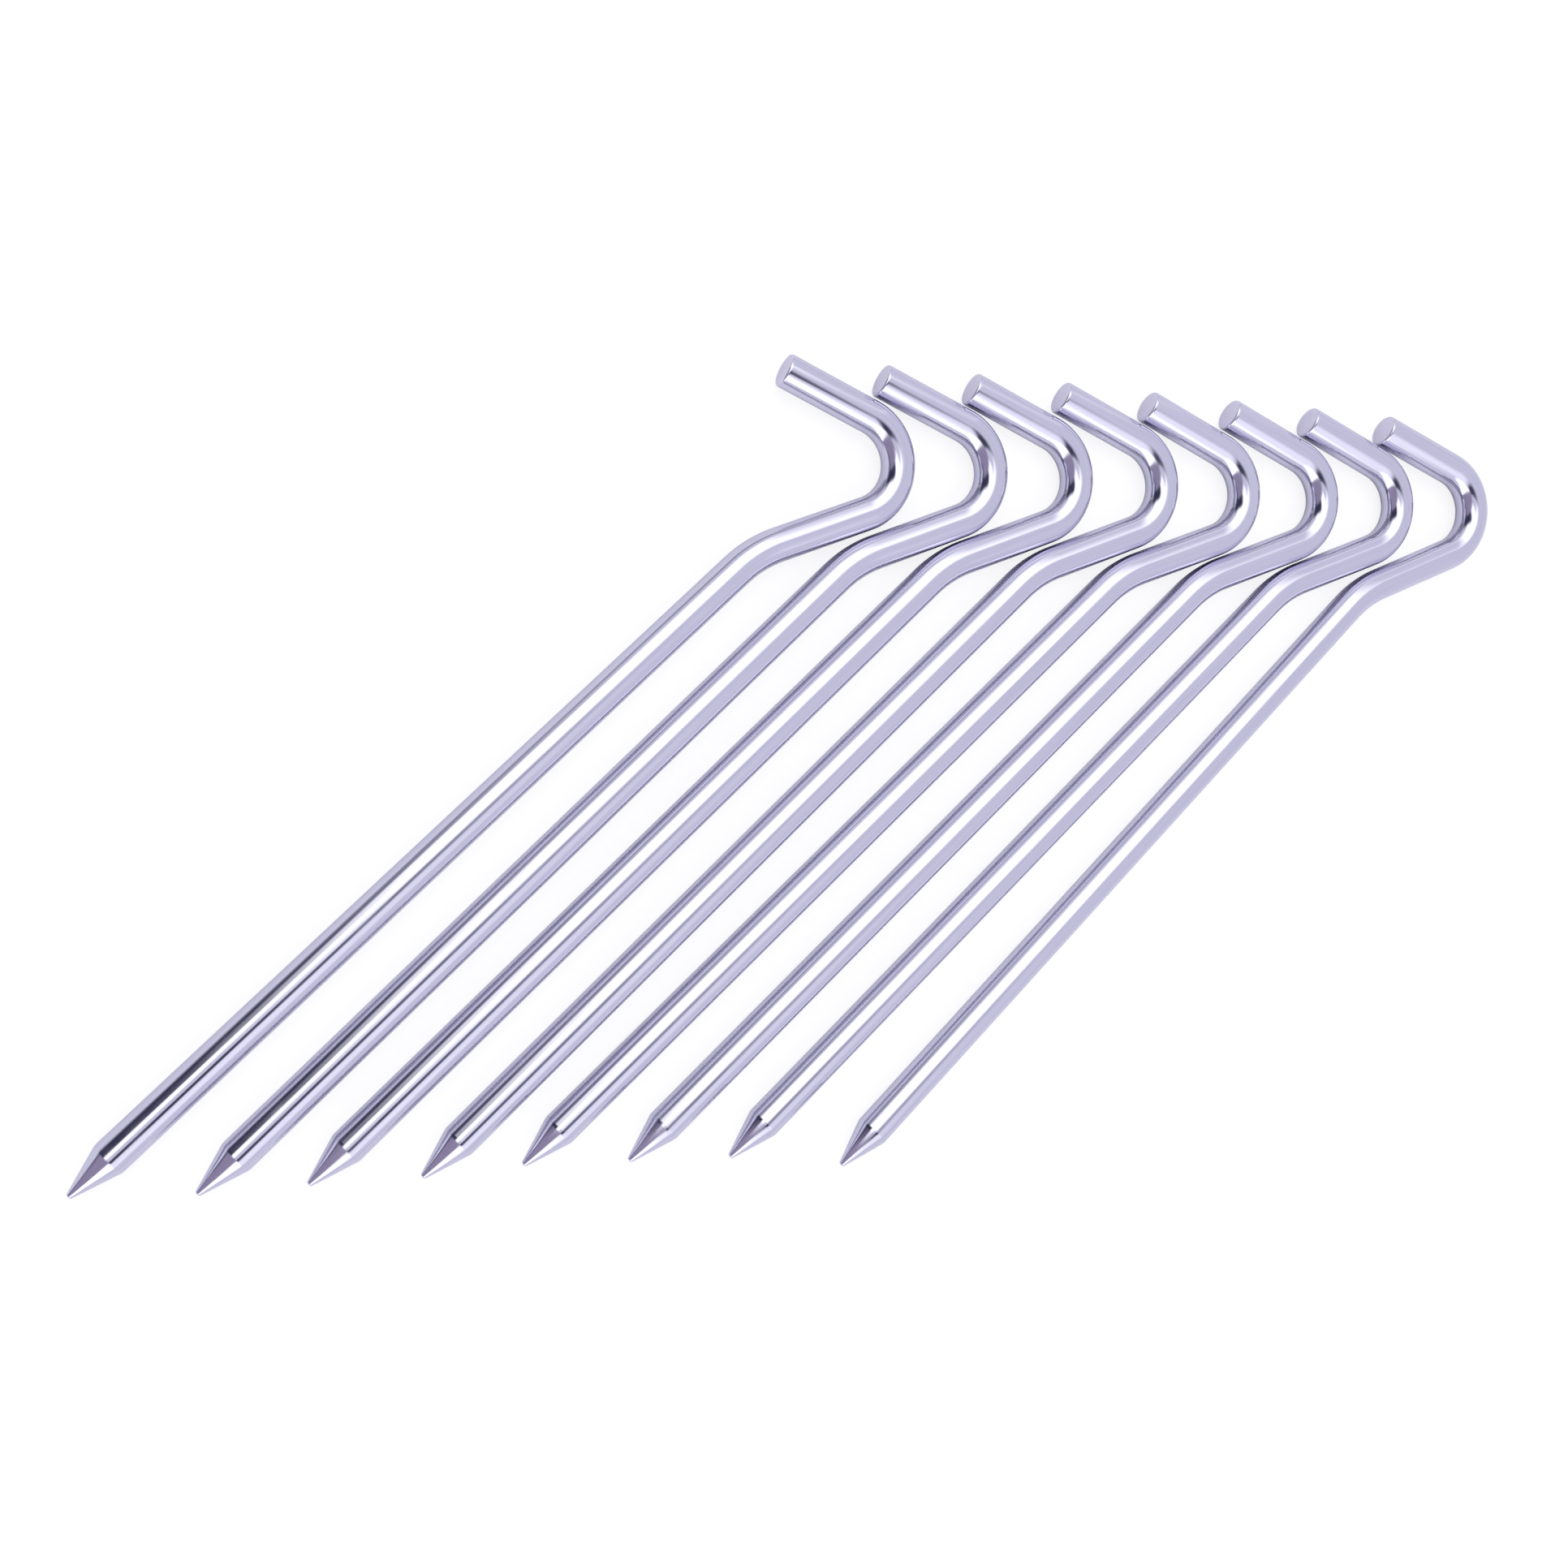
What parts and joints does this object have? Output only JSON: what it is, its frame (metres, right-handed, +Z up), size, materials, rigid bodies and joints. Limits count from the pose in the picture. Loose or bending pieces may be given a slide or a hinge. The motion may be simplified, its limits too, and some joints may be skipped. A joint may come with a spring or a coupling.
{
  "type": "hooked wire tent stakes",
  "caption": "Bent wire tent stakes with pointed shafts and open hooks, lying flat and nested in a slanting row.",
  "frame": {"origin": "bottom centre of the row's box, on the surface that the stakes lie on", "axes": "+Y along the shafts, from the points towards the hooks; +X across the row, from stake_1 to stake_8; +Z up, across the flat row"},
  "size_m": [0.119, 0.2742, 0.006],
  "materials": {
    "plated_wire": "bright plated, polished, with fine drawing lines"
  },
  "bodies": {
    "stake_1": {"stake_1": "plated_wire"},
    "stake_2": {"stake_2": "plated_wire"},
    "stake_3": {"stake_3": "plated_wire"},
    "stake_4": {"stake_4": "plated_wire"},
    "stake_5": {"stake_5": "plated_wire"},
    "stake_6": {"stake_6": "plated_wire"},
    "stake_7": {"stake_7": "plated_wire"},
    "stake_8": {"stake_8": "plated_wire"}
  },
  "joints": [
    {"name": "stake_2_lift", "type": "slide", "parent": "stake_1", "child": "stake_2", "axis": [0, 0, 1], "range_m": [0, 0.05]},
    {"name": "stake_3_lift", "type": "slide", "parent": "stake_1", "child": "stake_3", "axis": [0, 0, 1], "range_m": [0, 0.05]},
    {"name": "stake_4_lift", "type": "slide", "parent": "stake_1", "child": "stake_4", "axis": [0, 0, 1], "range_m": [0, 0.05]},
    {"name": "stake_5_lift", "type": "slide", "parent": "stake_1", "child": "stake_5", "axis": [0, 0, 1], "range_m": [0, 0.05]},
    {"name": "stake_6_lift", "type": "slide", "parent": "stake_1", "child": "stake_6", "axis": [0, 0, 1], "range_m": [0, 0.05]},
    {"name": "stake_7_lift", "type": "slide", "parent": "stake_1", "child": "stake_7", "axis": [0, 0, 1], "range_m": [0, 0.05]},
    {"name": "stake_8_lift", "type": "slide", "parent": "stake_1", "child": "stake_8", "axis": [0, 0, 1], "range_m": [0, 0.05]}
  ]
}
